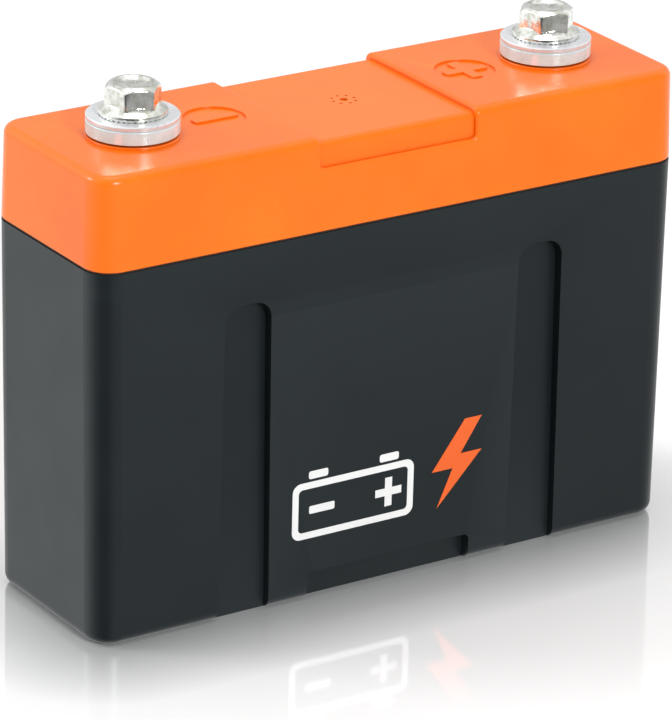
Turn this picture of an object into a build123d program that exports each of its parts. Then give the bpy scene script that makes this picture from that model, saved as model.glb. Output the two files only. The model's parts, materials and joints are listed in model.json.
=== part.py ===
from build123d import *
import math
import os

# Motorcycle starter battery: four lithium iron phosphate cells in a two-piece plastic case.
# Millimetres, +Z up. The origin is the centre of the bottom face, +X runs along the length
# towards the positive terminal and -Y is the front face.

# Case and lid
LENGTH = 114.0
WIDTH = 34.7
CORNER_R = 4.8
WALL = 2.2
FLOOR = 2.5
JOINT_Z = 65.1
SEAL_T = 0.3
SEAL_INSET = 0.3
SEAL_GAP = 0.02
LID_TOP_Z = 81.3
CASE_DRAFT = 0.35
LID_DRAFT = 1.6
CASE_BOTTOM_R = 2.0
LID_TOP_R = 1.5
LID_RIM_R = 0.3
TONGUE_H = 2.2
TONGUE_INSET = 1.15
TONGUE_ROOT = 0.5
FIT = 0.1

# Tall recessed bands on both long faces, and the clamp notch at their bottom edge
BAND_X = 28.75
BAND_W = 9.9
BAND_TAPER = 0.6
BAND_TOP_Z = 55.4
BAND_FLOOR_Y = 15.4
BAND_R = 3.0
NOTCH_W = 32.4
NOTCH_H = 4.9
NOTCH_DEPTH = 2.0
NOTCH_R = 1.0
BACKING = 1.5
RELIEF_Y = 13.2
RELIEF_GAP = 0.4
BELOW = 10.0

# Strap recess across the lid
STRAP_W = 30.3
STRAP_DEPTH = 0.95
STRAP_INSET = 0.85
STRAP_FOOT_Z = 76.1
STRAP_R = 0.8
STRAP_SEAT_R = 1.1
STRAP_RIM_R = 0.6
STRAP_SIDE_ROOM = 0.4
WINDOW_H = 20.0

# Polarity marks, each standing in a shallow round hollow, and vent
MARK_X = 24.6
MARK_Y = 0.75
MARK_L = 8.2
MARK_W = 2.0
MARK_R = 0.4
MARK_EDGE_R = 0.12
HOLLOW_R = 5.2
HOLLOW_DEPTH = 0.35
HOLLOW_RIM_R = 0.12
ROOT = 0.5
VENT_R = 0.7
VENT_RING_R = 2.0
VENT_DOT_R = 0.28
VENT_DOTS = 8
MEMBRANE_R = 4.5
MEMBRANE_T = 0.2

# Cells: four in a row, alternate ends up
CELL_R = 13.0
CELL_H = 65.0
CELL_PITCH = 27.0
CELL_Z = 6.5
CELL_COUNT = 4
CELL_X = [(i - (CELL_COUNT - 1) / 2) * CELL_PITCH for i in range(CELL_COUNT)]
CELL_TOP = CELL_Z + CELL_H
WRAP_T = 0.18
CAN_T = 0.25
CELL_BASE_R = 9.3
BEAD_DROP = 5.6
BEAD_DEPTH = 0.7
BEAD_HALF = 0.6
CRIMP_DROP = 1.0
CRIMP_W = 1.8
CAP_R = 5.5
CORE_R = 1.5

# Cell holders, pad, sheet and board
HOLDER_L = 108.2
HOLDER_W = 29.2
HOLDER_H = 6.0
HOLDER_LIP = 0.9
HOLDER_R = 2.4
CELL_BORE_R = CELL_R + 0.15
CELL_EYE_R = 10.5
BUSBAR_W = 10.0
BUSBAR_T = 0.3
TAP_W = 3.0
TAP_Y = 10.5
TAP_ROOM = 0.5
BUSBAR_REACH = 6.5
BUSBAR_ROOM = 0.2
SLIT_L = 6.0
SLIT_W = 0.8
SHEET_T = 0.3
SHEET_W = 26.0
SHEET_EYE_Y = 9.0
PAD_L = 104.0
PAD_W = 25.0
BOARD_L = 59.0
BOARD_W = 25.0
BOARD_T = 1.2
BOARD_R = 1.5
BOARD_Z = 73.6
BOARD_TOP = BOARD_Z + BOARD_T
SCREW_X = 27.0
SCREW_Y = -9.5
SCREW_R = 1.0
SCREW_POST_R = 2.5
SCREW_HEAD_R = 1.9
SCREW_HEAD_H = 1.3
WIRE_R = 0.5
WIRE_ROOM = 0.3
SENSOR_Y = -6.2
SENSOR_Z = 45.0
SENSOR_R = 1.6
SENSOR_H = 5.0
LEAD_R = 0.25
LEAD_X = 0.6

# Terminals: M5 threaded posts in the lid, each with a captive washer and a flange bolt
TERMINAL_X = CELL_X[-1]
PAD_R = 7.8
PAD_H = 0.3
PAD_EDGE_R = 0.2
GASKET_R = 7.0
GASKET_EYE_R = 6.2
GASKET_T = 0.3
COLLAR_Z = LID_TOP_Z + PAD_H + GASKET_T
COLLAR_R = 7.7
COLLAR_H = 2.25
COLLAR_EDGE_R = 0.2
POST_TOP_Z = COLLAR_Z + COLLAR_H
POST_BOTTOM_Z = 72.7
POST_STEM_R = 4.5
POST_NECK = 9.4
POST_NECK_R = 1.5
POST_NECK_Z = 78.0
POST_BORE_Z = 74.6
BOSS_R = 8.0
BOSS_Z = 76.0
STRAP_T = 0.5
STRAP_LEG_X = 8.7
STRAP_REACH = 6.5
TAB_HALF = 4.0
LUG_HALF = 6.0
TONGUE_L = 3.8
TONGUE_HALF = 1.2
NUT_FLATS = 13.0
NUT_H = 2.5
WASHER_T = 0.9
WASHER_EDGE = 0.2
WASHER_Z = POST_TOP_Z + WASHER_T
M5_R = 2.45
M5_RUNNING_R = 2.5
BOLT_L = 10.0
TIP_CHAMFER = 0.5
HEAD_H = 5.3
HEAD_FLATS = 8.4
CROWN_R = 3.3
CROWN_DROP = 1.0
FLANGE_R = 5.75
FLANGE_RIM = 0.9
FLANGE_H = 1.9
DISH_R = 2.9
DISH_DEPTH = 0.8
HEAD_TURN = 13.8

TERMINAL_SIDES = {"negative": -1, "positive": 1}


def upright(radius, z_low, z_high, x=0.0, y=0.0):
    """Round bar standing at x, y between two heights."""
    return extrude(Pos(x, y, z_low) * Circle(radius), amount=z_high - z_low)


def slab(x_low, x_high, y_low, y_high, z_low, z_high):
    """Box between two corners."""
    size = (x_high - x_low, y_high - y_low, z_high - z_low)
    centre = ((x_low + x_high) / 2, (y_low + y_high) / 2, (z_low + z_high) / 2)
    return Pos(*centre) * Box(*size)


def ring(outer, inner, z_low, z_high, x=0.0, y=0.0):
    """Round tube standing at x, y between two heights."""
    return upright(outer, z_low, z_high, x, y) - upright(inner, z_low - 1, z_high + 1, x, y)


def rounded_slab(length, width, radius, z_low, z_high):
    """Straight block on a rounded rectangle centred on the Z axis."""
    outline = Pos(0, 0, z_low) * RectangleRounded(length, width, radius)
    return extrude(outline, amount=z_high - z_low)


def drafted_up(length, width, radius, z_low, z_high, draft):
    """Block on a rounded rectangle at z_low whose walls lean in towards z_high."""
    outline = Pos(0, 0, z_low) * RectangleRounded(length, width, radius)
    return extrude(outline, amount=z_high - z_low, taper=draft)


def drafted_down(length, width, radius, z_high, z_low, draft):
    """Block on a rounded rectangle at z_high whose walls lean in towards z_low."""
    block = drafted_up(length, width, radius, 0, z_high - z_low, draft)
    return Pos(0, 0, z_high) * Rot(180, 0, 0) * block


def both_faces(shape):
    """A front feature together with its mirror image on the back face."""
    return shape + mirror(shape, about=Plane.XZ)


def band_tools(floor_y, grow):
    """Upright round-topped blocks, a little wider at the bottom, that cut the bands."""
    lean = math.tan(math.radians(BAND_TAPER))
    top = BAND_TOP_Z + grow
    half_top = BAND_W / 2 + grow - top * lean
    half_foot = BAND_W / 2 + grow + BELOW * lean
    outline = Polygon((-half_foot, -BELOW), (half_foot, -BELOW), (half_top, top),
                      (-half_top, top), align=None)
    outline = fillet(outline.vertices().sort_by(Axis.Y)[-2:], BAND_R + grow)
    block = extrude(Plane.XZ * outline, amount=WIDTH)
    pair = Pos(-BAND_X, -floor_y, 0) * block + Pos(BAND_X, -floor_y, 0) * block
    return both_faces(pair)


def notch_tools(grow):
    """Blocks at the bottom edge of both long faces that make the clamp notch."""
    bottom_y = WIDTH / 2 - JOINT_Z * math.tan(math.radians(CASE_DRAFT))
    inner_y = bottom_y - NOTCH_DEPTH - grow
    height = NOTCH_H + grow
    outline = RectangleRounded(NOTCH_W + 2 * grow, 2 * height, NOTCH_R)
    block = extrude(Plane.XZ * outline, amount=WIDTH)
    return both_faces(Pos(0, -inner_y, 0) * block)


def make_case():
    """Open-topped box with bands and notches, and a tongue that plugs into the lid."""
    shell = drafted_down(LENGTH, WIDTH, CORNER_R, JOINT_Z, 0, CASE_DRAFT)
    shell = fillet(shell.edges().group_by(Axis.Z)[0], CASE_BOTTOM_R)
    shell = shell - band_tools(BAND_FLOOR_Y, 0) - notch_tools(0)
    inner_l = LENGTH - 2 * WALL
    inner_w = WIDTH - 2 * WALL
    inner_r = CORNER_R - WALL
    tongue_l = LENGTH - 2 * TONGUE_INSET
    tongue_w = WIDTH - 2 * TONGUE_INSET
    tongue_r = CORNER_R - TONGUE_INSET
    shell += rounded_slab(tongue_l, tongue_w, tongue_r, JOINT_Z - TONGUE_ROOT, JOINT_Z + TONGUE_H)
    cavity = drafted_down(inner_l, inner_w, inner_r, JOINT_Z, FLOOR, CASE_DRAFT)
    cavity = cavity - band_tools(BAND_FLOOR_Y - BACKING, BACKING) - notch_tools(BACKING)
    mouth = rounded_slab(inner_l, inner_w, inner_r, JOINT_Z, JOINT_Z + TONGUE_H + 1)
    return shell - cavity - mouth


def strap_tool():
    """Everything above the strap seat and outside its front and back insets."""
    lean = math.tan(math.radians(LID_DRAFT))
    seat_z = LID_TOP_Z - STRAP_DEPTH
    base_y = WIDTH / 2 - STRAP_INSET
    seat_y = base_y - (seat_z - JOINT_Z) * lean
    under_z = STRAP_FOOT_Z - WALL
    foot_y = base_y - (under_z - JOINT_Z) * lean
    outline = Polygon((-foot_y, under_z), (foot_y, under_z), (seat_y, seat_z),
                      (-seat_y, seat_z), align=None)
    core = extrude(Plane.YZ * outline, amount=LENGTH / 2, both=True)
    core = fillet(core.edges().filter_by(Axis.X).group_by(Axis.Z)[-1], STRAP_SEAT_R)
    window = RectangleRounded(STRAP_W, WINDOW_H, STRAP_R)
    window = Pos(0, STRAP_FOOT_Z + WINDOW_H / 2) * window
    slot = extrude(Plane.XZ * window, amount=WIDTH, both=True)
    return slot - core


def soften_strap_rim(shell):
    """Round the lid's top edges along both sides of the strap recess."""
    rims = [edge for edge in shell.edges().filter_by(Axis.Y)
            if abs(edge.center().Z - LID_TOP_Z) < 0.01 and abs(edge.center().X) < STRAP_W]
    return fillet(rims, STRAP_RIM_R)


def softened(solid, radius):
    """Round all of a solid's top edges."""
    return fillet(solid.edges().group_by(Axis.Z)[-1], radius)


def terminal_pad(x):
    """Low round pad on the lid's top under a terminal."""
    foot = Pos(x, 0, LID_TOP_Z - ROOT)
    return softened(extrude(foot * Circle(PAD_R), amount=ROOT + PAD_H), PAD_EDGE_R)


def add_polarity_mark(shell, outline, x):
    """Sink a shallow round hollow into the lid and stand a mark in it, level with the lid's top."""
    floor_z = LID_TOP_Z - HOLLOW_DEPTH
    shell -= upright(HOLLOW_R, floor_z, LID_TOP_Z + BELOW, x, MARK_Y)
    rim = [edge for edge in shell.edges().filter_by(GeomType.CIRCLE)
           if abs(edge.radius - HOLLOW_R) < 0.01 and edge.center().Z > LID_TOP_Z - 0.01]
    shell = fillet(rim, HOLLOW_RIM_R)
    foot = Pos(x, MARK_Y, floor_z - ROOT)
    return shell + softened(extrude(foot * outline, amount=ROOT + HOLLOW_DEPTH), MARK_EDGE_R)


def vent_holes():
    """Centre hole and a ring of small dots through the strap seat."""
    low = LID_TOP_Z - BELOW
    holes = upright(VENT_R, low, LID_TOP_Z)
    for i in range(VENT_DOTS):
        angle = math.tau * i / VENT_DOTS
        x = VENT_RING_R * math.cos(angle)
        holes += upright(VENT_DOT_R, low, LID_TOP_Z, x, VENT_RING_R * math.sin(angle))
    return holes


def make_lid():
    """Hollow cover with its strap recess, marks, vent, terminal pads and keyed post holes."""
    base_z = JOINT_Z + SEAL_T
    shell = drafted_up(LENGTH, WIDTH, CORNER_R, base_z, LID_TOP_Z, LID_DRAFT)
    shell = fillet(shell.edges().group_by(Axis.Z)[-1], LID_TOP_R)
    shell = fillet(shell.edges().group_by(Axis.Z)[0], LID_RIM_R)
    shell -= strap_tool()
    shell = soften_strap_rim(shell)
    minus = RectangleRounded(MARK_L, MARK_W, MARK_R)
    shell = add_polarity_mark(shell, minus, -MARK_X)
    shell = add_polarity_mark(shell, minus + Rot(0, 0, 90) * minus, MARK_X)
    for x in (-TERMINAL_X, TERMINAL_X):
        shell += terminal_pad(x)
    ceiling_z = LID_TOP_Z - WALL
    inner_l = LENGTH - 2 * WALL
    inner_w = WIDTH - 2 * WALL
    cavity = drafted_up(inner_l, inner_w, CORNER_R - WALL, base_z, ceiling_z, LID_DRAFT)
    half = STRAP_W / 2 + WALL
    cavity -= slab(-half, half, -WIDTH, WIDTH, ceiling_z - STRAP_DEPTH, LID_TOP_Z)
    side_y = inner_w / 2 - STRAP_INSET - STRAP_SIDE_ROOM
    cavity -= both_faces(slab(-half, half, -WIDTH, -side_y, STRAP_FOOT_Z - WALL, LID_TOP_Z))
    rebate = rounded_slab(LENGTH - 2 * TONGUE_INSET + 2 * FIT, WIDTH - 2 * TONGUE_INSET + 2 * FIT,
                          CORNER_R - TONGUE_INSET + FIT, base_z, JOINT_Z + TONGUE_H + FIT)
    for x in (-TERMINAL_X, TERMINAL_X):
        cavity -= upright(BOSS_R, BOSS_Z, LID_TOP_Z, x)
    shell = shell - cavity - rebate - vent_holes()
    for x in (-TERMINAL_X, TERMINAL_X):
        neck = RectangleRounded(POST_NECK + FIT, POST_NECK + FIT, POST_NECK_R)
        shell -= extrude(Pos(x, 0, POST_NECK_Z - FIT) * neck, amount=BELOW)
        shell -= upright(POST_STEM_R + FIT, LID_TOP_Z - BELOW, LID_TOP_Z, x)
    return shell


def make_seal():
    """Thin line of sealant in the joint, just inside the outer faces."""
    outer = rounded_slab(LENGTH - 2 * SEAL_INSET, WIDTH - 2 * SEAL_INSET, CORNER_R - SEAL_INSET,
                         JOINT_Z, JOINT_Z + SEAL_T)
    inset = TONGUE_INSET - SEAL_GAP
    inner = rounded_slab(LENGTH - 2 * inset, WIDTH - 2 * inset, CORNER_R - inset,
                         JOINT_Z - TONGUE_ROOT, JOINT_Z + TONGUE_H)
    return outer - inner


def make_membrane():
    """Porous disc stuck under the vent."""
    top = LID_TOP_Z - WALL - STRAP_DEPTH
    return upright(MEMBRANE_R, top - MEMBRANE_T, top)


def revolved(points):
    """Solid of revolution about Z from a closed outline of (radius, height) points."""
    return revolve(Plane.XZ * Polygon(*points, align=None), Axis.Z)


def cell_pieces():
    """One cell standing on its negative end at the origin: name to solid."""
    gap = 0.02
    can_r = CELL_R - WRAP_T - gap
    inner_r = can_r - CAN_T
    bead_z = CELL_H - BEAD_DROP
    crimp_z = CELL_H - CRIMP_DROP
    base_z = WRAP_T + gap
    can = revolved([(0, 0), (CELL_BASE_R, 0), (CELL_BASE_R, base_z), (can_r, base_z),
                    (can_r, bead_z - BEAD_HALF), (can_r - BEAD_DEPTH, bead_z),
                    (can_r, bead_z + BEAD_HALF), (can_r, crimp_z),
                    (can_r - CRIMP_W, crimp_z), (can_r - CRIMP_W, crimp_z - CAN_T),
                    (inner_r, crimp_z - CAN_T), (inner_r, bead_z + BEAD_DEPTH),
                    (inner_r - BEAD_DEPTH, bead_z), (inner_r, bead_z - BEAD_DEPTH),
                    (inner_r, 2 * CAN_T), (0, 2 * CAN_T)])
    header_r = inner_r - BEAD_HALF
    cap_low = crimp_z - CRIMP_W + 2 * CAN_T
    cap_step = crimp_z - 2 * CAN_T
    cap = revolved([(0, cap_low), (header_r, cap_low), (header_r, cap_step),
                    (CAP_R + 2 * WRAP_T, cap_step), (CAP_R, CELL_H), (0, CELL_H)])
    gasket = ring(inner_r - gap, header_r + gap, cap_low - CRIMP_DROP, crimp_z - CAN_T - gap)
    roll = ring(inner_r - BEAD_DEPTH - 5 * gap, CORE_R, 5 * CAN_T, bead_z - 2 * BEAD_HALF)
    film_r = CELL_R - WRAP_T
    eye_r = CELL_BASE_R + WRAP_T
    wrap = revolved([(eye_r, gap), (CELL_R, gap), (CELL_R, crimp_z + gap + WRAP_T),
                     (eye_r, crimp_z + gap + WRAP_T), (eye_r, crimp_z + gap),
                     (film_r, crimp_z + gap), (film_r, WRAP_T), (eye_r, WRAP_T)])
    return {"can": can, "cap": cap, "gasket": gasket, "roll": roll, "wrap": wrap}


def place_cell(shape, x, positive_up):
    """Stand a cell piece in the row, turned over where its negative end is up."""
    if positive_up:
        return Pos(x, 0, CELL_Z) * shape
    return Pos(x, 0, CELL_TOP) * Rot(180, 0, 0) * shape


def make_busbar(x_from, x_to, z_low):
    """Nickel strip over two cell ends, with a side tap for its wire."""
    z_high = z_low + BUSBAR_T
    middle = (x_from + x_to) / 2
    strip = slab(x_from - BUSBAR_REACH, x_to + BUSBAR_REACH, -BUSBAR_W / 2, BUSBAR_W / 2,
                 z_low, z_high)
    strip = fillet(strip.edges().filter_by(Axis.Z), 1.0)
    strip += slab(middle - TAP_W / 2, middle + TAP_W / 2, 0, TAP_Y + 2 * TAP_ROOM, z_low, z_high)
    for x in (x_from, x_to):
        strip -= slab(x - SLIT_L / 2, x + SLIT_L / 2, -SLIT_W / 2, SLIT_W / 2, z_low, z_high)
    return strip


def busbar_channel(x_from, x_to, z_low):
    """Room for one busbar and its tap in a holder's lip."""
    middle = (x_from + x_to) / 2
    z_high = z_low + HOLDER_LIP
    half_w = BUSBAR_W / 2 + BUSBAR_ROOM
    room = slab(x_from, x_to, -half_w, half_w, z_low, z_high)
    half_tap = TAP_W / 2 + TAP_ROOM
    return room + slab(middle - half_tap, middle + half_tap, 0, TAP_Y + 3 * TAP_ROOM, z_low, z_high)


def holder_blank(z_low):
    """Holder outline, cleared at the case's band backings."""
    blank = rounded_slab(HOLDER_L, HOLDER_W, HOLDER_R, z_low, z_low + HOLDER_H)
    half = BAND_W / 2 + BACKING + RELIEF_GAP
    for x in (-BAND_X, BAND_X):
        relief = slab(x - half, x + half, -WIDTH, -RELIEF_Y, z_low, z_low + HOLDER_H)
        blank -= both_faces(relief)
    return blank


def make_bottom_holder():
    """Frame under the cells, with a lip below them and channels for two busbars."""
    z_low = CELL_Z - HOLDER_LIP
    z_high = z_low + HOLDER_H
    holder = holder_blank(z_low)
    for x in CELL_X:
        holder -= upright(CELL_BORE_R, CELL_Z, z_high, x)
        holder -= upright(CELL_EYE_R, z_low, z_high, x)
    for left, right in ((0, 1), (2, 3)):
        holder -= busbar_channel(CELL_X[left], CELL_X[right], z_low)
    half = NOTCH_W / 2 + BACKING + RELIEF_GAP
    relief_z = NOTCH_H + BACKING + RELIEF_GAP
    holder -= both_faces(slab(-half, half, -WIDTH, -RELIEF_Y, z_low, relief_z))
    for x in (-CELL_PITCH, CELL_PITCH):
        holder -= upright(WIRE_R + WIRE_ROOM, z_low, z_high, x, TAP_Y)
    return holder


def make_top_holder():
    """Frame over the cells, with a busbar channel and two posts for the board."""
    z_high = CELL_TOP + HOLDER_LIP
    z_low = z_high - HOLDER_H
    holder = holder_blank(z_low)
    for x in CELL_X:
        holder -= upright(CELL_BORE_R, z_low, CELL_TOP, x)
        holder -= upright(CELL_EYE_R, z_low, z_high, x)
    holder -= busbar_channel(CELL_X[1], CELL_X[2], CELL_TOP)
    for x in (-CELL_PITCH, CELL_PITCH):
        holder -= upright(WIRE_R + WIRE_ROOM, z_low, z_high, x, TAP_Y)
    holder -= upright(LEAD_X + 2 * WIRE_ROOM, z_low, z_high, 0, SENSOR_Y)
    for x in (-SCREW_X, SCREW_X):
        holder += upright(SCREW_POST_R, z_high, BOARD_Z, x, SCREW_Y)
        holder -= upright(SCREW_R, z_low + HOLDER_LIP, BOARD_Z, x, SCREW_Y)
    return holder


def make_bottom_pad():
    """Foam strip between the floor and the bottom holder."""
    return rounded_slab(PAD_L, PAD_W, HOLDER_R, FLOOR, CELL_Z - HOLDER_LIP)


def make_sheet():
    """Insulating sheet on the top holder, open over the end cells and round each wire."""
    z_low = CELL_TOP + HOLDER_LIP
    z_high = z_low + SHEET_T
    sheet = rounded_slab(HOLDER_L - 1, SHEET_W, HOLDER_R, z_low, z_high)
    for x in (-TERMINAL_X, TERMINAL_X):
        sheet -= slab(x - CELL_EYE_R, x + CELL_EYE_R, -SHEET_EYE_Y, SHEET_EYE_Y, z_low, z_high)
    for x in (-CELL_PITCH, 0, CELL_PITCH):
        sheet -= upright(WIRE_R + RELIEF_GAP, z_low, z_high, x, TAP_Y)
    for x in (-SCREW_X, SCREW_X):
        sheet -= upright(SCREW_POST_R + FIT, z_low, z_high, x, SCREW_Y)
    return sheet - upright(LEAD_X + 2 * RELIEF_GAP, z_low, z_high, 0, SENSOR_Y)


def make_board():
    """Board blank with holes for its screws, tap wires and sensor leads."""
    board = rounded_slab(BOARD_L, BOARD_W, BOARD_R, BOARD_Z, BOARD_TOP)
    for x in (-SCREW_X, SCREW_X):
        board -= upright(SCREW_R + FIT, BOARD_Z, BOARD_TOP, x, SCREW_Y)
    for x in (-CELL_PITCH, 0, CELL_PITCH):
        board -= upright(WIRE_R + FIT, BOARD_Z, BOARD_TOP, x, TAP_Y)
    for x in (-LEAD_X, LEAD_X):
        board -= upright(LEAD_R + FIT, BOARD_Z, BOARD_TOP, x, SENSOR_Y)
    return board


def board_row(length, width, height, xs, ys):
    """Equal rectangular parts on top of the board, as separate solids."""
    parts = []
    for x in xs:
        for y in ys:
            parts.append(Pos(x, y, BOARD_TOP + height / 2) * Box(length, width, height))
    return Compound(children=parts)


def make_board_screws():
    """Two slotted screws through the board into the top holder."""
    half = SCREW_HEAD_R * 0.7
    head_top = BOARD_TOP + SCREW_HEAD_H
    screws = []
    for x in (-SCREW_X, SCREW_X):
        head = upright(SCREW_HEAD_R, BOARD_TOP, head_top, x, SCREW_Y)
        head -= slab(x - half, x + half, SCREW_Y - 0.2, SCREW_Y + 0.2, head_top - 0.6, head_top)
        screws.append(head + upright(SCREW_R - 0.02, CELL_TOP - 2, BOARD_TOP, x, SCREW_Y))
    return Compound(children=screws)


def make_tap_wire(x, z_low):
    """Wire standing on a busbar tap and ending in a solder fillet on the board."""
    wire = upright(WIRE_R, z_low, BOARD_TOP + 0.8, x, TAP_Y)
    cone = Pos(x, TAP_Y, BOARD_TOP + 0.3) * Cone(1.1, 0.6, 0.6)
    return wire + cone


def make_sensor():
    """Thermistor bead between the middle cells, hanging on two leads from the board."""
    bead = upright(SENSOR_R, SENSOR_Z, SENSOR_Z + SENSOR_H, 0, SENSOR_Y)
    bead = fillet(bead.edges(), SENSOR_R * 0.45)
    for x in (-LEAD_X, LEAD_X):
        bead += upright(LEAD_R, SENSOR_Z + SENSOR_H / 2, BOARD_TOP + LEAD_X, x, SENSOR_Y)
    return bead


def hexagon(flats):
    """Hexagon by its width across flats."""
    return RegularPolygon(flats / 2, 6, major_radius=False)


def make_post(x):
    """Threaded post: round collar, square neck keyed in the lid, and stem."""
    post = upright(COLLAR_R, COLLAR_Z, POST_TOP_Z, x)
    post = fillet(post.edges(), COLLAR_EDGE_R)
    neck = Pos(x, 0, POST_NECK_Z) * RectangleRounded(POST_NECK, POST_NECK, POST_NECK_R)
    post += extrude(neck, amount=COLLAR_Z + ROOT - POST_NECK_Z)
    post += upright(POST_STEM_R, POST_BOTTOM_Z, POST_NECK_Z, x)
    return post - upright(M5_RUNNING_R, POST_BORE_Z, POST_TOP_Z, x)


def make_gasket(x):
    """Flat ring between a lid pad and the collar above it."""
    return ring(GASKET_R, GASKET_EYE_R, LID_TOP_Z + PAD_H, COLLAR_Z, x)


def make_strap(x, side):
    """Copper strip: tab on the cell, leg up beside it, lug round the post and a sense tongue."""
    leg = x - side * STRAP_LEG_X
    inner, outer = sorted((leg, leg - side * STRAP_T))
    far = x + side * STRAP_REACH
    low, high = sorted((far, leg))
    tab = slab(low, high, -TAB_HALF, TAB_HALF, CELL_TOP, CELL_TOP + STRAP_T)
    riser = slab(inner, outer, -TAB_HALF, TAB_HALF, CELL_TOP, BOSS_Z)
    lug = slab(low, high, -LUG_HALF, LUG_HALF, BOSS_Z - STRAP_T, BOSS_Z)
    lug -= upright(POST_STEM_R + FIT, BOSS_Z - STRAP_T, BOSS_Z, x)
    near, end = sorted((leg, leg - side * TONGUE_L))
    tongue = slab(near, end, -TONGUE_HALF, TONGUE_HALF, BOARD_TOP, BOARD_TOP + STRAP_T)
    return tab + riser + lug + tongue


def make_locknut(x):
    """Thin nut under the lug, with its lower corners turned off at 30 degrees."""
    low = BOSS_Z - STRAP_T - NUT_H
    corner = NUT_FLATS / math.sqrt(3)
    face = NUT_FLATS * 0.52
    rise = (corner - face) * math.tan(math.radians(30))
    nut = extrude(Pos(x, 0, low) * hexagon(NUT_FLATS), amount=NUT_H)
    crown = revolved([(0, 0), (face, 0), (corner, rise), (corner, NUT_H), (0, NUT_H)])
    nut = nut & (Pos(x, 0, low) * crown)
    return nut - upright(POST_STEM_R + 0.02, low, low + NUT_H, x)


def make_washer(x):
    """Round washer on the collar, chamfered on both outer rims."""
    washer = ring(COLLAR_R, M5_RUNNING_R, POST_TOP_Z, WASHER_Z, x)
    rims = washer.edges().filter_by(GeomType.CIRCLE).sort_by(SortBy.RADIUS)[-2:]
    return chamfer(rims, WASHER_EDGE)


def make_bolt(x):
    """Flange bolt: domed and dished hexagon on a sloping flange, and its shank."""
    top = WASHER_Z + HEAD_H
    head = extrude(Pos(x, 0, WASHER_Z) * Rot(0, 0, HEAD_TURN) * hexagon(HEAD_FLATS), amount=HEAD_H)
    corner = HEAD_FLATS / math.sqrt(3)
    dome = [(corner, HEAD_H - CROWN_DROP),
            ((corner + CROWN_R) / 2, HEAD_H - CROWN_DROP / 3), (CROWN_R, HEAD_H)]
    crown = revolved([(0, 0), (corner, 0), *dome, (0, HEAD_H)])
    head = head & (Pos(x, 0, WASHER_Z) * crown)
    flange = revolved([(0, 0), (FLANGE_R, 0), (FLANGE_R, FLANGE_RIM),
                       (HEAD_FLATS / 2, FLANGE_H), (0, FLANGE_H)])
    head += Pos(x, 0, WASHER_Z) * flange
    head -= Pos(x, 0, top - DISH_DEPTH / 2) * Cone(DISH_R - DISH_DEPTH, DISH_R, DISH_DEPTH)
    shank = upright(M5_R, WASHER_Z - BOLT_L, WASHER_Z, x)
    shank = chamfer(shank.edges().group_by(Axis.Z)[0], TIP_CHAMFER)
    return head + shank


def make_nodes():
    nodes = {"case_lower": make_case(), "lid_cover": make_lid(), "joint_seal": make_seal(),
             "vent_membrane": make_membrane(), "bottom_pad": make_bottom_pad(),
             "bottom_holder": make_bottom_holder(), "top_holder": make_top_holder(),
             "insulation_sheet": make_sheet(), "balance_board": make_board(),
             "board_screws": make_board_screws(), "thermistor": make_sensor()}
    for i, x in enumerate(CELL_X):
        for name, shape in cell_pieces().items():
            nodes[f"cell_{i + 1}_{name}"] = place_cell(shape, x, i % 2 == 1)
    bottom_z = CELL_Z - BUSBAR_T
    nodes["busbar_1_2"] = make_busbar(CELL_X[0], CELL_X[1], bottom_z)
    nodes["busbar_2_3"] = make_busbar(CELL_X[1], CELL_X[2], CELL_TOP)
    nodes["busbar_3_4"] = make_busbar(CELL_X[2], CELL_X[3], bottom_z)
    nodes["tap_wire_1_2"] = make_tap_wire(-CELL_PITCH, CELL_Z)
    nodes["tap_wire_2_3"] = make_tap_wire(0, CELL_TOP + BUSBAR_T)
    nodes["tap_wire_3_4"] = make_tap_wire(CELL_PITCH, CELL_Z)
    nodes["board_chips"] = board_row(5.0, 4.0, 1.5, (-20.5, -8.5, 8.5, 20.5), (-3.0,))
    nodes["board_resistors"] = board_row(3.2, 6.4, 0.6, (-20.5, -8.5, 8.5, 20.5), (5.5,))
    nodes["board_capacitors"] = board_row(2.0, 1.3, 1.2, (-14.5, -3.2, 3.2, 14.5), (-2.0, 1.0))
    for name, side in TERMINAL_SIDES.items():
        x = side * TERMINAL_X
        nodes[f"{name}_post"] = make_post(x)
        nodes[f"{name}_gasket"] = make_gasket(x)
        nodes[f"{name}_strap"] = make_strap(x, side)
        nodes[f"{name}_locknut"] = make_locknut(x)
        nodes[f"{name}_washer"] = make_washer(x)
        nodes[f"{name}_bolt"] = make_bolt(x)
    return nodes


os.makedirs("parts", exist_ok=True)
for node_name, node_shape in make_nodes().items():
    export_step(node_shape, f"parts/{node_name}.step")
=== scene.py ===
import json
import math

import bmesh
import bpy
from mathutils import Matrix, Vector


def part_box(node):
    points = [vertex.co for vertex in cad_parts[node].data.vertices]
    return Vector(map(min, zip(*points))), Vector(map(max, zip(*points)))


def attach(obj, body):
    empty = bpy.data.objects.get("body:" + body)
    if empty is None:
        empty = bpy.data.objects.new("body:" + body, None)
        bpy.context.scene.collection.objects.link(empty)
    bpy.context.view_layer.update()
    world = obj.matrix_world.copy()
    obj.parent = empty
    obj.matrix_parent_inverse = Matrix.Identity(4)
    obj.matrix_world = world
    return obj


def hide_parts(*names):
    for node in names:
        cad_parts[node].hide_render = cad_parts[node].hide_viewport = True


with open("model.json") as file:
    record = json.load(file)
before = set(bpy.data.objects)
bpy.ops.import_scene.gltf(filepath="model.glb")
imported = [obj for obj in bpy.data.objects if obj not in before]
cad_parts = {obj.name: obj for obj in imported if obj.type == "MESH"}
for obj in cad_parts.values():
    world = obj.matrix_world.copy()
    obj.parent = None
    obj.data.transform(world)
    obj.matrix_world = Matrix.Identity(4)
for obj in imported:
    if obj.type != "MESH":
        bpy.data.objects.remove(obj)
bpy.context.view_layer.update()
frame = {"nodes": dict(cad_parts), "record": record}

MM = 0.001

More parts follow.
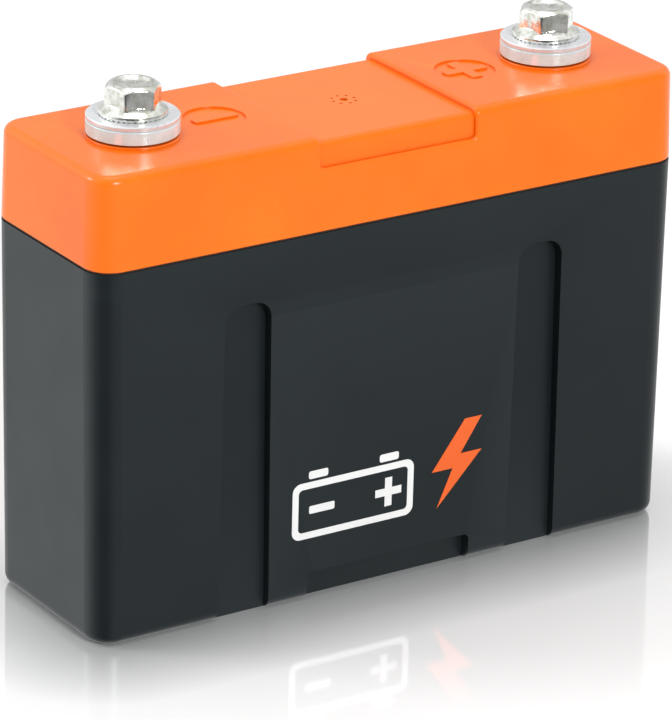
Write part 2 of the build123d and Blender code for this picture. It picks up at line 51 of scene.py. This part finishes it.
# Sizes of the object, in millimetres
TERMINAL_X = 40.5
CASE_WIDTH = 34.7
JOINT_Z = 65.1
CASE_DRAFT = math.radians(0.35)

# ---------------------------------------------------------------- materials


class Look:
    """Builds one procedural material: colour, roughness and relief from object coordinates."""

    def __init__(self, name):
        """Starts a material with a plain Principled shader."""
        self.mat = bpy.data.materials.new(name)
        self.mat.use_nodes = True
        self.nodes = self.mat.node_tree.nodes
        self.links = self.mat.node_tree.links
        self.shader = self.nodes["Principled BSDF"]
        self.coords = self.nodes.new("ShaderNodeTexCoord")

    def link(self, a, b):
        """Joins an output to an input."""
        self.links.new(a, b)

    def node(self, kind, operation=None):
        """Adds a node, with its operation if it has one."""
        node = self.nodes.new(kind)
        if operation:
            node.operation = operation
        return node

    def noise(self, size_mm, detail=3.0, rough=0.55, stretch=(1, 1, 1)):
        """Noise with features of about size_mm."""
        mapping = self.node("ShaderNodeMapping")
        scale = 1 / (size_mm * MM)
        mapping.inputs["Scale"].default_value = [scale * s for s in stretch]
        self.link(self.coords.outputs["Object"], mapping.inputs["Vector"])
        tex = self.node("ShaderNodeTexNoise")
        tex.inputs["Scale"].default_value = 1.0
        tex.inputs["Detail"].default_value = detail
        tex.inputs["Roughness"].default_value = rough
        self.link(mapping.outputs["Vector"], tex.inputs["Vector"])
        return tex.outputs["Fac"]

    def spread(self, source, low, high, from_low=0.3, from_high=0.7):
        """Maps a 0..1 value to a range."""
        node = self.node("ShaderNodeMapRange")
        node.inputs["From Min"].default_value = from_low
        node.inputs["From Max"].default_value = from_high
        node.inputs["To Min"].default_value = low
        node.inputs["To Max"].default_value = high
        self.link(source, node.inputs["Value"])
        return node.outputs["Result"]

    def mix(self, factor, a, b):
        """Colour mix; a and b are sockets or RGB tuples."""
        node = self.node("ShaderNodeMix")
        node.data_type = "RGBA"
        self.link(factor, node.inputs["Factor"])
        for value, socket in ((a, node.inputs[6]), (b, node.inputs[7])):
            if isinstance(value, tuple):
                socket.default_value = (*value, 1)
            else:
                self.link(value, socket)
        return node.outputs[2]

    def vector(self, operation, a, b=None, output="Vector"):
        """Vector arithmetic; b is a socket or a tuple."""
        node = self.node("ShaderNodeVectorMath", operation)
        self.link(a, node.inputs[0])
        if isinstance(b, tuple):
            node.inputs[1].default_value = b
        elif b is not None:
            self.link(b, node.inputs[1])
        return node.outputs[output]

    def add(self, a, b):
        """Sum of two values."""
        node = self.node("ShaderNodeMath", "ADD")
        self.link(a, node.inputs[0])
        self.link(b, node.inputs[1])
        return node.outputs[0]

    def occlusion_shade(self, reach_mm):
        """Ambient occlusion for painted shade: 0 in a crease or hollow that light hardly reaches, 1
        in the open.
        """
        node = self.node("ShaderNodeAmbientOcclusion")
        node.samples = 8
        node.inputs["Distance"].default_value = reach_mm * MM
        return node.outputs["AO"]

    def edges(self, low=0.52, high=0.6):
        """1 on outer edges, 0 elsewhere."""
        geometry = self.node("ShaderNodeNewGeometry")
        return self.spread(geometry.outputs["Pointiness"], 0, 1, low, high)

    def bump(self, height, depth_mm, strength=1.0, normal=None):
        """Fine relief of depth_mm, over an earlier relief if one is given."""
        node = self.node("ShaderNodeBump")
        node.inputs["Strength"].default_value = strength
        node.inputs["Distance"].default_value = depth_mm * MM
        self.link(height, node.inputs["Height"])
        if normal:
            self.link(normal, node.inputs["Normal"])
        return node.outputs["Normal"]

    def set(self, **values):
        """Sets the shader's own sockets to uniform values."""
        for key, value in values.items():
            self.shader.inputs[key.replace("_", " ")].default_value = value

    def finish(self, colour=None, roughness=None, normal=None):
        """Connects what is given and returns the material."""
        for value, name in ((colour, "Base Color"), (roughness, "Roughness"), (normal, "Normal")):
            if value is not None:
                self.link(value, self.shader.inputs[name])
        return self.mat


def shade(rgb, factor):
    """A colour made darker or lighter."""
    return tuple(min(1.0, c * factor) for c in rgb)


def moulded(name, rgb, rough, grain_mm=0.35, grain_depth=0.004, vary=0.08, wear=None):
    """Moulded plastic or rubber: fine grain, soft cloudiness, slightly worn edges."""
    look = Look(name)
    cloud = look.noise(14, 2)
    grain = look.noise(grain_mm, 4)
    colour = look.mix(look.spread(cloud, 0, 1), shade(rgb, 1 - vary), shade(rgb, 1 + vary))
    if wear:
        colour = look.mix(look.edges(), colour, wear)
    roughness = look.add(look.spread(cloud, rough - 0.03, rough + 0.03),
                         look.spread(grain, -0.02, 0.02))
    look.set(IOR=1.5)
    return look.finish(colour, roughness, look.bump(grain, grain_depth))


def metal(name, rgb, rough, grain_mm=0.5, grain_depth=0.002, vary=0.1, stretch=(1, 1, 1)):
    """Plated or bare metal: cloudy plating and fine directional grain."""
    look = Look(name)
    cloud = look.noise(2.2, 3)
    grain = look.noise(grain_mm, 4, 0.6, stretch)
    colour = look.mix(look.spread(cloud, 0, 1), shade(rgb, 1 - vary), shade(rgb, 1 + vary))
    roughness = look.add(look.spread(cloud, rough - 0.04, rough + 0.04),
                         look.spread(grain, -0.04, 0.04))
    look.set(Metallic=1.0)
    return look.finish(colour, roughness, look.bump(grain, grain_depth))


def case_plastic():
    """Black moulded plastic: satin, with fine grain and faint flow marks."""
    look = Look("case_black_plastic")
    grain = look.noise(0.22, 3, 0.5)
    cloud = look.noise(24, 2)
    flow = look.noise(9, 3, 0.5, (0.35, 1, 1))
    base = look.mix(look.spread(cloud, 0, 1), (0.0065, 0.0095, 0.0112), (0.0085, 0.0120, 0.0138))
    colour = look.mix(look.edges(0.53, 0.66), base, (0.020, 0.025, 0.028))
    roughness = look.add(look.spread(flow, 0.36, 0.42), look.spread(grain, -0.03, 0.03))
    look.set(IOR=1.48, Specular_Tint=(0.86, 0.97, 1.0, 1))
    normal = look.bump(grain, 0.0045)
    return look.finish(colour, roughness, look.bump(flow, 0.02, 0.5, normal))


def lid_plastic():
    """Orange moulded plastic: half gloss, with painted shade that darkens it where a crease shuts out
    light.
    """
    look = Look("lid_orange_plastic")
    grain = look.noise(0.35, 3, 0.5)
    cloud = look.noise(18, 2)
    scuff = look.noise(2.5, 4, 0.5, (0.5, 1, 1))
    base = look.mix(look.spread(cloud, 0, 1), (0.93, 0.155, 0.0035), (0.95, 0.180, 0.0050))
    worn = look.mix(look.edges(0.53, 0.66), base, (0.96, 0.20, 0.012))
    # Painted shade: ambient occlusion turns the orange darker in each crease and hollow.
    crease_shade = look.spread(look.occlusion_shade(1.5), 0, 1, 0.35, 0.95)
    colour = look.mix(crease_shade, (0.78, 0.125, 0.003), worn)
    roughness = look.add(look.spread(cloud, 0.23, 0.27), look.spread(scuff, -0.015, 0.02))
    look.set(IOR=1.43)
    normal = look.bump(grain, 0.0015)
    return look.finish(colour, roughness, look.bump(cloud, 0.03, 0.4, normal))


RINGS_PER_M = 9000


def turning_marks(look):
    """Noise in rings round each terminal's upright axis."""
    position = look.node("ShaderNodeSeparateXYZ")
    look.link(look.coords.outputs["Object"], position.inputs[0])
    side = look.node("ShaderNodeMath", "ABSOLUTE")
    look.link(position.outputs["X"], side.inputs[0])
    offset = look.node("ShaderNodeMath", "SUBTRACT")
    look.link(side.outputs[0], offset.inputs[0])
    offset.inputs[1].default_value = TERMINAL_X * MM
    flat = look.node("ShaderNodeCombineXYZ")
    look.link(offset.outputs[0], flat.inputs["X"])
    look.link(position.outputs["Y"], flat.inputs["Y"])
    rings = look.node("ShaderNodeCombineXYZ")
    look.link(look.vector("LENGTH", flat.outputs[0], output="Value"), rings.inputs["X"])
    look.link(position.outputs["Z"], rings.inputs["Z"])
    scale = look.node("ShaderNodeVectorMath", "SCALE")
    scale.inputs["Scale"].default_value = RINGS_PER_M
    look.link(rings.outputs[0], scale.inputs[0])
    tool = look.node("ShaderNodeTexNoise")
    tool.inputs["Scale"].default_value = 1.0
    tool.inputs["Detail"].default_value = 3.0
    look.link(scale.outputs[0], tool.inputs["Vector"])
    return tool.outputs["Fac"]


def turned_metal(name, rgb, rough, metallic):
    """Lathe-turned plated steel: fine rings round each terminal's axis."""
    look = Look(name)
    marks = turning_marks(look)
    cloud = look.noise(2.5, 3)
    colour = look.mix(look.spread(cloud, 0, 1), shade(rgb, 0.92), shade(rgb, 1.06))
    colour = look.mix(look.edges(0.52, 0.62), colour, (0.86, 0.86, 0.88))
    roughness = look.add(look.spread(cloud, rough - 0.03, rough + 0.03),
                         look.spread(marks, -0.05, 0.05))
    look.set(Metallic=metallic)
    return look.finish(colour, roughness, look.bump(marks, 0.0015))


def bright_zinc():
    """Bright zinc plating: wavy, patchy reflections with a faint yellow-green cast."""
    look = Look("bolt_bright_zinc")
    patch = look.noise(1.5, 3, 0.6)
    cloud = look.noise(4, 2)
    wave = look.noise(1.1, 2, 0.4)
    grain = look.noise(0.25, 3)
    colour = look.mix(look.spread(patch, 0, 1, 0.38, 0.58), (0.58, 0.59, 0.52), (0.92, 0.93, 0.90))
    tinted = look.mix(look.spread(cloud, 0, 0.5, 0.45, 0.7), colour, (0.74, 0.78, 0.66))
    worn = look.mix(look.edges(0.53, 0.64), tinted, (0.94, 0.94, 0.93))
    roughness = look.add(look.spread(patch, 0.20, 0.12), look.spread(grain, -0.03, 0.04))
    look.set(Metallic=1.0)
    normal = look.bump(wave, 0.05)
    return look.finish(worn, roughness, look.bump(grain, 0.002, 1.0, normal))


def wrap_film():
    """Shrink film over a cell, with fine ripples."""
    look = Look("cell_wrap_film")
    ripple = look.noise(1.8, 2, 0.5, (1, 1, 0.15))
    cloud = look.noise(10, 2)
    colour = look.mix(look.spread(cloud, 0, 1), (0.030, 0.12, 0.40), (0.045, 0.16, 0.48))
    look.set(Coat_Weight=0.4)
    return look.finish(colour, look.spread(ripple, 0.22, 0.32), look.bump(ripple, 0.03))


def circuit_mask():
    """Green solder mask with lighter lands where copper lies under it."""
    look = Look("board_solder_mask")
    brick = look.node("ShaderNodeTexBrick")
    brick.inputs["Scale"].default_value = 220
    brick.inputs["Mortar Size"].default_value = 0.012
    brick.inputs["Color1"].default_value = (0.012, 0.16, 0.06, 1)
    brick.inputs["Color2"].default_value = (0.016, 0.20, 0.075, 1)
    brick.inputs["Mortar"].default_value = (0.04, 0.30, 0.12, 1)
    look.link(look.coords.outputs["Object"], brick.inputs["Vector"])
    grain = look.noise(0.4, 3)
    return look.finish(brick.outputs["Color"], look.spread(grain, 0.28, 0.38),
                       look.bump(brick.outputs["Fac"], 0.02))


LOOKS = {
    "case_black": case_plastic(),
    "lid_orange": lid_plastic(),
    "seal_black": moulded("seal_rubber", (0.040, 0.022, 0.014), rough=0.62, grain_mm=0.3,
                          grain_depth=0.006),
    "membrane_white": moulded("vent_film", (0.82, 0.82, 0.80), rough=0.85, grain_mm=0.12,
                              grain_depth=0.01),
    "pad_foam": moulded("pad_foam", (0.05, 0.05, 0.055), rough=0.95, grain_mm=0.6, grain_depth=0.12,
                        vary=0.25),
    "holder_plastic": moulded("holder_plastic", (0.018, 0.018, 0.02), rough=0.5, grain_mm=0.3,
                              grain_depth=0.006, wear=(0.05, 0.05, 0.05)),
    "sheet_paper": moulded("sheet_paper", (0.36, 0.42, 0.33), rough=0.8, grain_mm=0.25,
                           grain_depth=0.02, vary=0.12),
    "board_green": circuit_mask(),
    "screw_steel": metal("screw_steel", (0.62, 0.62, 0.60), rough=0.3),
    "sensor_epoxy": moulded("sensor_epoxy", (0.012, 0.012, 0.016), rough=0.25, grain_mm=0.8,
                            grain_depth=0.01),
    "chip_black": moulded("chip_epoxy", (0.012, 0.012, 0.013), rough=0.55, grain_mm=0.15,
                          grain_depth=0.006),
    "part_ceramic": moulded("part_ceramic", (0.42, 0.33, 0.22), rough=0.45, grain_mm=0.3,
                            grain_depth=0.004, vary=0.15),
    "cell_steel": metal("cell_steel", (0.62, 0.62, 0.60), rough=0.28, grain_mm=0.4,
                        grain_depth=0.002, vary=0.1, stretch=(1, 1, 0.1)),
    "gasket_plastic": moulded("gasket_plastic", (0.75, 0.75, 0.72), rough=0.5),
    "cell_roll": metal("cell_roll", (0.10, 0.10, 0.11), rough=0.5, grain_mm=0.25, grain_depth=0.02,
                       vary=0.2, stretch=(1, 1, 0.05)),
    "cell_wrap": wrap_film(),
    "busbar_nickel": metal("busbar_nickel", (0.66, 0.63, 0.58), rough=0.32, grain_mm=0.3,
                           grain_depth=0.003, vary=0.1, stretch=(0.1, 1, 1)),
    "wire_red": moulded("wire_red", (0.45, 0.015, 0.010), rough=0.45, grain_mm=0.4,
                        grain_depth=0.005),
    "terminal_nickel": turned_metal("terminal_nickel", (0.62, 0.80, 0.84), rough=0.30,
                                    metallic=0.16),
    "strap_copper": metal("strap_copper", (0.80, 0.38, 0.22), rough=0.3, grain_mm=0.3,
                          grain_depth=0.003, vary=0.12, stretch=(0.1, 1, 1)),
    "nut_brass": metal("nut_nickel", (0.60, 0.58, 0.54), rough=0.3),
    "washer_steel": turned_metal("washer_steel", (0.60, 0.66, 0.70), rough=0.28, metallic=0.42),
    "bolt_zinc": bright_zinc(),
    "print_ink": moulded("print_white", (0.85, 0.86, 0.85), rough=0.42, grain_mm=0.2,
                         grain_depth=0.002, vary=0.03),
}

for part in frame["record"]["subparts"]:
    node = frame["nodes"][part["node"]]
    for index in range(len(node.material_slots)):
        node.material_slots[index].material = LOOKS[part["material_slot"]]


# ---------------------------------------------------------------- mesh helpers


def to_object(name, bm, material, sharp_deg=30):
    """Turns a bmesh into a shaded object; edges sharper than sharp_deg stay crisp."""
    bmesh.ops.remove_doubles(bm, verts=bm.verts, dist=1e-7)
    bmesh.ops.recalc_face_normals(bm, faces=bm.faces)
    mesh = bpy.data.meshes.new(name)
    bm.to_mesh(mesh)
    bm.free()
    mesh.materials.append(material)
    for polygon in mesh.polygons:
        polygon.use_smooth = True
    mesh.set_sharp_from_angle(angle=math.radians(sharp_deg))
    obj = bpy.data.objects.new(name, mesh)
    bpy.context.scene.collection.objects.link(obj)
    return obj


def lathe_rows(bm, rows, steps, x, close_bottom=True, close_top=True):
    """Joins rows of vertices; each row is a function of angle giving (radius, height) in mm."""
    grid = []
    for row in rows:
        ring = []
        for k in range(steps):
            angle = math.tau * k / steps
            r, z = row(angle)
            point = (x + r * MM * math.cos(angle), r * MM * math.sin(angle), z * MM)
            ring.append(bm.verts.new(point))
        grid.append(ring)
    for low, high in zip(grid, grid[1:]):
        for k in range(steps):
            j = (k + 1) % steps
            bm.faces.new((low[k], low[j], high[j], high[k]))
    if close_bottom:
        bm.faces.new(tuple(reversed(grid[0])))
    if close_top:
        bm.faces.new(tuple(grid[-1]))


# ---------------------------------------------------------------- flange bolts

# Head, in millimetres
HEAD_TURN = math.radians(13.8)
FLATS = 8.4
CORNER_R = 4.80
CORNER_SOFT = 0.06
CROWN_R = 3.3
CROWN_EDGE_R = 4.85
CROWN_DROP = 1.0
CROWN_POWER = 1.6
FLANGE_R = 5.75
TEETH = 40
TOOTH_DEPTH = 0.18
HEAD_STEPS = 180

# Shank and M5 thread, in millimetres
SHANK_R = 2.45
ROOT_R = 1.98
CREST_R = 2.44
TIP_R = 1.75
TIP_CORE_R = 0.4
TIP_GAP = 0.02
PITCH = 0.8
THREAD_STEPS = 60


def hex_radius(angle):
    """Distance to the side of the hexagon, with slightly rounded corners."""
    turn = (angle - HEAD_TURN - math.radians(30)) % math.radians(60) - math.radians(30)
    r = FLATS / 2 / math.cos(turn)
    over = (r - CORNER_R) / CORNER_SOFT
    if over > 4:
        return CORNER_R
    if over < -4:
        return r
    return CORNER_R - CORNER_SOFT * math.log(1 + math.exp(-over))


def bolt_head_rows(base, top):
    """Rows of the head from the shank's top out over the flange, up the hexagon and into the dish."""

    def tooth(angle):
        """Height of the grooves between the teeth under the flange."""
        wave = (angle * TEETH / math.tau) % 1.0
        return TOOTH_DEPTH * max(0.0, min(1.0, (abs(wave - 0.5) - 0.27) * 9))

    def plain(r, z):
        """Round row at a height over the seat."""
        return lambda angle: (r, base + z)

    def toothed(r, z):
        """Round row that follows the teeth."""
        return lambda angle: (r, base + z + tooth(angle))

    def side(z, reach):
        """Row on the flange's cone that meets the hexagon's faces where they rise."""
        def row(angle):
            return (max(hex_radius(angle), reach), base + z)
        return row

    def fall(r):
        """How far the domed crown lies below the top at radius r."""
        return CROWN_DROP * (max(0.0, r - CROWN_R) / (CROWN_EDGE_R - CROWN_R)) ** CROWN_POWER

    def shoulder(inset, below):
        """Row along the hexagon's upper edge, where its faces run into the dome."""
        def row(angle):
            r = hex_radius(angle) - inset
            return (r, top - fall(r) - below)
        return row

    def dome(r):
        """Row on the domed crown."""
        def row(angle):
            radius = min(r, hex_radius(angle) - 0.12)
            return (radius, top - fall(radius))
        return row

    rows = [plain(SHANK_R, 0.3), plain(3.3, 0.3), toothed(3.5, 0.0), toothed(FLANGE_R - 0.25, 0.0),
            toothed(FLANGE_R - 0.06, 0.05), plain(FLANGE_R, 0.30), plain(FLANGE_R, 0.66),
            plain(FLANGE_R - 0.05, 0.80), plain(FLANGE_R - 0.18, 0.90)]
    rows += [side(1.04, 5.30), side(1.20, 5.02), side(1.42, 4.72), side(1.62, 4.50),
             side(1.80, 4.34), side(1.95, 4.24), side(2.15, 4.20)]
    rows += [shoulder(0.0, 0.10), shoulder(0.03, 0.05), shoulder(0.07, 0.01)]
    rows += [dome(r) for r in (4.62, 4.45, 4.3, 4.15, 4.0, 3.85, 3.7, 3.5, CROWN_R)]
    for r, z in ((3.12, -0.01), (2.98, -0.06), (2.86, -0.16), (2.66, -0.34), (2.35, -0.50),
                 (1.9, -0.62), (1.3, -0.70), (0.6, -0.74)):
        rows.append(lambda angle, r=r, z=z: (r, top + z))
    return rows


def thread(bm, x, low, high):
    """Right-hand helical thread between two heights, tapering to TIP_R at its low end."""
    depth = CREST_R - ROOT_R
    flank = (ROOT_R + 0.15 * depth, ROOT_R + 0.6 * depth)
    profile = (ROOT_R, ROOT_R, *flank, CREST_R, CREST_R, *reversed(flank))
    per_turn = len(profile)
    first = int(low / PITCH * per_turn) - per_turn - 2
    last = int(high / PITCH * per_turn) + 2
    grid = {}
    for i in range(first, last + 1):
        for k in range(THREAD_STEPS + 1):
            angle = math.tau * k / THREAD_STEPS
            z = i * PITCH / per_turn + PITCH * k / THREAD_STEPS
            r = min(profile[i % per_turn], TIP_R + max(0.0, z - low))
            height = min(max(z, low), high)
            grid[i, k] = bm.verts.new((x + r * MM * math.cos(angle), r * MM * math.sin(angle),
                                       height * MM))
    for i in range(first, last):
        for k in range(THREAD_STEPS):
            bm.faces.new((grid[i, k], grid[i, k + 1], grid[i + 1, k + 1], grid[i + 1, k]))


def make_bolt(side, x):
    """Detailed bolt in place of the plain one: toothed flange, dished hexagon head and thread."""
    low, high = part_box(f"{side}_bolt")
    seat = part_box(f"{side}_washer")[1].z / MM
    top = high.z / MM
    tip = low.z / MM + TIP_GAP
    bm = bmesh.new()
    lathe_rows(bm, bolt_head_rows(seat, top), HEAD_STEPS, x, close_bottom=False)
    head = to_object(f"{side}_bolt_head", bm, LOOKS["bolt_zinc"], sharp_deg=28)
    bm = bmesh.new()
    thread(bm, x, tip, seat + 0.3)
    lathe_rows(bm, [lambda a: (TIP_CORE_R, tip), lambda a: (TIP_R, tip)], THREAD_STEPS, x,
               close_top=False)
    shank = to_object(f"{side}_bolt_thread", bm, LOOKS["bolt_zinc"], sharp_deg=40)
    for piece in (head, shank):
        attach(piece, f"{side}_bolt")
    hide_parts(f"{side}_bolt")


for side, x in (("negative", -TERMINAL_X * MM), ("positive", TERMINAL_X * MM)):
    make_bolt(side, x)


# ---------------------------------------------------------------- printed pictogram

PRINT_T = 0.03
PRINT_GAP = 0.002


def front_point(x, z, out):
    """Point on the leaning front face, `out` mm in front of it."""
    y = -(CASE_WIDTH / 2 - (JOINT_Z - z) * math.tan(CASE_DRAFT)) - out
    return (x * MM, y * MM, z * MM)


def plate(bm, points):
    """Thin printed shape from an outline in x, z (mm)."""
    back = [bm.verts.new(front_point(x, z, PRINT_GAP)) for x, z in points]
    front = [bm.verts.new(front_point(x, z, PRINT_T)) for x, z in points]
    bm.faces.new(front)
    bm.faces.new(tuple(reversed(back)))
    for k in range(len(points)):
        j = (k + 1) % len(points)
        bm.faces.new((front[k], back[k], back[j], front[j]))


def arc(cx, cz, r, start, end, steps=8):
    """Points on an arc between two angles in degrees."""
    out = []
    for k in range(steps + 1):
        angle = math.radians(start + (end - start) * k / steps)
        out.append((cx + r * math.cos(angle), cz + r * math.sin(angle)))
    return out


def rounded(x0, z0, x1, z1, r):
    """Outline of a rectangle with rounded corners."""
    return (arc(x1 - r, z0 + r, r, -90, 0) + arc(x1 - r, z1 - r, r, 0, 90)
            + arc(x0 + r, z1 - r, r, 90, 180) + arc(x0 + r, z0 + r, r, 180, 270))


def frame_strip(bm, outer, inner):
    """Closed band between two outlines with the same number of points."""
    loops = [[bm.verts.new(front_point(x, z, out)) for x, z in outline]
             for outline, out in ((outer, PRINT_T), (inner, PRINT_T), (inner, PRINT_GAP),
                                  (outer, PRINT_GAP))]
    count = len(outer)
    for a, b in zip(loops, loops[1:] + loops[:1]):
        for k in range(count):
            j = (k + 1) % count
            bm.faces.new((a[k], a[j], b[j], b[k]))


def plus_outline(cx, cz, reach, half):
    """Outline of a plus sign, from its centre, its arms' reach and half their width."""
    corners = []
    for turn in range(4):
        angle = math.pi / 2 * turn
        for a, b in ((half, -half), (reach, -half), (reach, half)):
            corners.append((cx + a * math.cos(angle) - b * math.sin(angle),
                            cz + a * math.sin(angle) + b * math.cos(angle)))
    return corners


def make_battery_symbol():
    """White drawing of a battery: frame, two poles, a minus and a plus."""
    bm = bmesh.new()
    frame_strip(bm, rounded(-19.5, 11.2, 4.5, 21.4, 1.6), rounded(-18.3, 12.4, 3.3, 20.2, 0.8))
    for pole_x in (-16.4, -2.4):
        plate(bm, rounded(pole_x, 21.9, pole_x + 3.8, 23.3, 0.4))
    plate(bm, rounded(-16.2, 15.6, -11.2, 17.0, 0.3))
    plate(bm, plus_outline(-0.5, 16.3, 2.6, 0.7))
    symbol = to_object("front_battery_symbol", bm, LOOKS["print_ink"], sharp_deg=20)
    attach(symbol, "battery")


def make_flash_symbol():
    """Orange lightning flash beside the battery drawing."""
    bm = bmesh.new()
    plate(bm, [(14.6, 26.4), (8.2, 17.8), (12.4, 17.8), (9.4, 11.0), (18.2, 20.2), (13.9, 20.2),
               (18.0, 26.4)])
    ink = moulded("print_orange", (0.90, 0.13, 0.012), rough=0.42, grain_mm=0.2, grain_depth=0.002,
                  vary=0.03)
    flash = to_object("front_flash_symbol", bm, ink, sharp_deg=20)
    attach(flash, "battery")


make_battery_symbol()
make_flash_symbol()


# ---------------------------------------------------------------- floor, light, camera

# Half-size of the face that the object stands on, in millimetres
FOOT_X = 54.5
FOOT_Y = 15.0

# Brightness of the white room in each direction
WORLD_FRONT = 0.12
WORLD_BACK = 1.08
WORLD_LEFT_FRONT = 0.6
WORLD_RIGHT_BACK = 0.60
WORLD_RIGHT_FRONT = 0.30


def make_floor():
    """White floor whose mirror and gloss fade away from the object's footprint."""
    bm = bmesh.new()
    bmesh.ops.create_grid(bm, x_segments=2, y_segments=2, size=2.0)
    look = Look("studio_floor")
    cloud = look.noise(40, 2)
    colour = look.mix(look.spread(cloud, 0, 1), (0.94, 0.94, 0.94), (0.95, 0.95, 0.95))
    reach = look.vector("ABSOLUTE", look.coords.outputs["Object"])
    reach = look.vector("SUBTRACT", reach, (FOOT_X * MM, FOOT_Y * MM, 0))
    reach = look.vector("MAXIMUM", reach, (0, 0, 0))
    away = look.vector("LENGTH", reach, output="Value")
    mirror = look.spread(away, 0.52, 0.0, 0.003, 0.023)
    gloss = look.spread(away, 0.5, 0.05, 0.018, 0.075)
    look.link(mirror, look.shader.inputs["Metallic"])
    look.link(gloss, look.shader.inputs["Specular IOR Level"])
    look.set(IOR=2.0)
    floor = to_object("studio_floor", bm, look.finish(colour, look.spread(cloud, 0.05, 0.07)))
    floor.location.z = -0.02 * MM
    floor.visible_glossy = False


def make_world():
    """White room: bright overhead and behind, dim in front, with three soft patches.

    The patches lie at the left front and right back, where it is dimmer, and at the right front,
    where it is brighter.
    """
    world = bpy.data.worlds.new("studio")
    bpy.context.scene.world = world
    world.use_nodes = True
    nodes, links = world.node_tree.nodes, world.node_tree.links
    coords = nodes.new("ShaderNodeTexCoord")

    def toward(direction, low, high, dim, bright):
        """Brightness that rises with the view's lean towards a direction."""
        lean = nodes.new("ShaderNodeVectorMath")
        lean.operation = "DOT_PRODUCT"
        lean.inputs[1].default_value = Vector(direction).normalized()
        links.new(coords.outputs["Generated"], lean.inputs[0])
        ramp = nodes.new("ShaderNodeMapRange")
        ramp.interpolation_type = "SMOOTHSTEP"
        ramp.inputs["From Min"].default_value = low
        ramp.inputs["From Max"].default_value = high
        ramp.inputs["To Min"].default_value = dim
        ramp.inputs["To Max"].default_value = bright
        links.new(lean.outputs["Value"], ramp.inputs["Value"])
        return ramp.outputs["Result"]

    def times(a, b):
        """Product of two values."""
        node = nodes.new("ShaderNodeMath")
        node.operation = "MULTIPLY"
        links.new(a, node.inputs[0])
        links.new(b, node.inputs[1])
        return node.outputs[0]

    behind = toward((0, 1, 0.25), -0.75, 0.35, WORLD_FRONT, WORLD_BACK)
    left_front = toward((-0.8, -0.6, -0.2), 0.55, 0.95, 1.0, WORLD_LEFT_FRONT)
    right_back = toward((0.55, 0.75, 0.35), 0.70, 0.98, 1.0, WORLD_RIGHT_BACK)
    strength = times(times(behind, left_front), right_back)
    right_front = toward((0.509, -0.775, -0.374), 0.45, 0.90, 0.0, WORLD_RIGHT_FRONT)
    total = nodes.new("ShaderNodeMath")
    total.operation = "ADD"
    links.new(strength, total.inputs[0])
    links.new(right_front, total.inputs[1])
    background = nodes["Background"]
    background.inputs["Color"].default_value = (1, 1, 1, 1)
    links.new(total.outputs[0], background.inputs["Strength"])


def softbox(name, place, aim, size, watts):
    """Square area light at a place, aimed at a point."""
    data = bpy.data.lights.new(name, "AREA")
    data.shape = "RECTANGLE"
    data.size, data.size_y = size
    data.energy = watts
    obj = bpy.data.objects.new(name, data)
    obj.location = place
    direction = Vector(aim) - Vector(place)
    obj.rotation_euler = direction.to_track_quat("-Z", "Y").to_euler()
    bpy.context.scene.collection.objects.link(obj)


def make_camera():
    """Camera left of the front and above it, looking down at 22 degrees."""
    azimuth, elevation, roll = (math.radians(a) for a in (-33.28, 21.96, 1.30))
    back = Vector((math.sin(azimuth) * math.cos(elevation),
                   -math.cos(azimuth) * math.cos(elevation), math.sin(elevation)))
    right = Vector((math.cos(azimuth), math.sin(azimuth), 0))
    up = back.cross(right)
    x_axis = right * math.cos(roll) + up * math.sin(roll)
    y_axis = up * math.cos(roll) - right * math.sin(roll)
    target = Vector((0, 0, 0.045))
    distance = 860.4 * MM
    left, down = 0.52 * MM, 10.27 * MM
    place = target + back * distance - x_axis * left - y_axis * down
    data = bpy.data.cameras.new("camera")
    data.sensor_fit = "VERTICAL"
    data.sensor_height = 36
    data.lens = 256.5
    data.clip_start = 0.01
    camera = bpy.data.objects.new("camera", data)
    camera.matrix_world = Matrix((
        (x_axis.x, y_axis.x, back.x, place.x),
        (x_axis.y, y_axis.y, back.y, place.y),
        (x_axis.z, y_axis.z, back.z, place.z),
        (0, 0, 0, 1)))
    bpy.context.scene.collection.objects.link(camera)
    bpy.context.scene.camera = camera


make_floor()
make_world()
softbox("front_light", place=(-0.04, -1.0, 0.55), aim=(0, 0, 0.05), size=(0.2, 0.2),
        watts=7.6)
softbox("left_light", place=(-0.72, 0.55, 0.55), aim=(0, 0, 0.06), size=(0.35, 0.35),
        watts=3.0)
softbox("top_light", place=(0.05, 0.05, 0.8), aim=(0, 0, 0.08), size=(0.35, 0.35),
        watts=0.85)
make_camera()
bpy.context.scene.view_settings.view_transform = "Standard"
bpy.context.scene.view_settings.look = "None"
